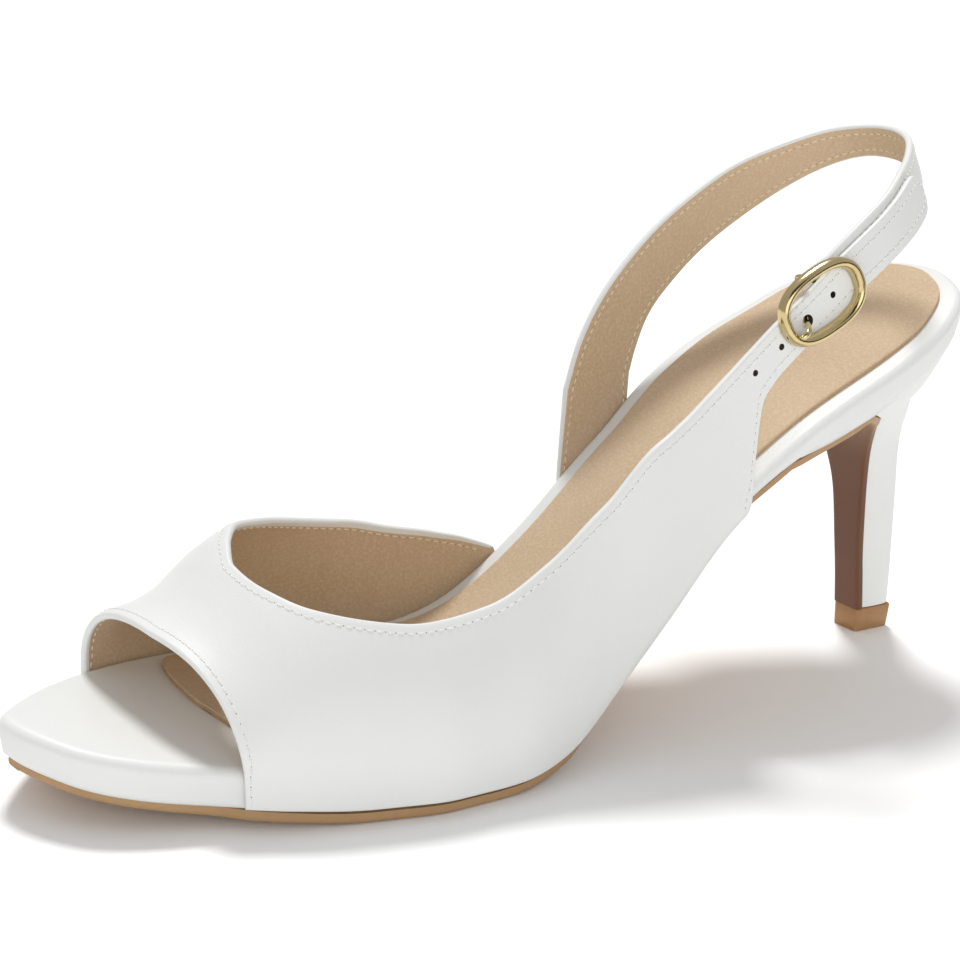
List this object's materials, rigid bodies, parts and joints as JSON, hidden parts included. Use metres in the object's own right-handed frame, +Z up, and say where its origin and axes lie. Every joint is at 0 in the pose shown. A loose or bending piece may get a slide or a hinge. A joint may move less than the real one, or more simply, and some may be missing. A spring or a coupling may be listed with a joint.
{
  "type": "slingback peep toe pump",
  "caption": "Left slingback pump with an open toe, a thin platform, a slim high heel and a strap that buckles at the outer ankle.",
  "frame": {"origin": "on the floor under the ball of the foot, at the middle of the flat tread of the outsole", "axes": "-Y towards the toe and +Y towards the heel, +X towards the outer side of the left foot where the buckle is, +Z up from the floor"},
  "size_m": [0.0784, 0.232, 0.1238],
  "materials": {
    "white_leather": "smooth off-white leather, slight sheen",
    "heel_cover": "plastic core wrapped in the same off-white leather",
    "lining_leather": "matt beige suede-like lining",
    "outsole_leather": "tan, smooth, darker on the breast of the heel",
    "lift_rubber": "tan, matt",
    "pale_gold": "polished pale gold plate"
  },
  "bodies": {
    "root": {"outsole": "outsole_leather", "platform_footbed": "white_leather", "sock_lining": "lining_leather", "heel": "heel_cover", "top_lift": "lift_rubber", "upper": "white_leather", "sling_strap": "white_leather", "buckle_frame": "pale_gold", "buckle_prong": "pale_gold"}
  },
  "joints": []
}
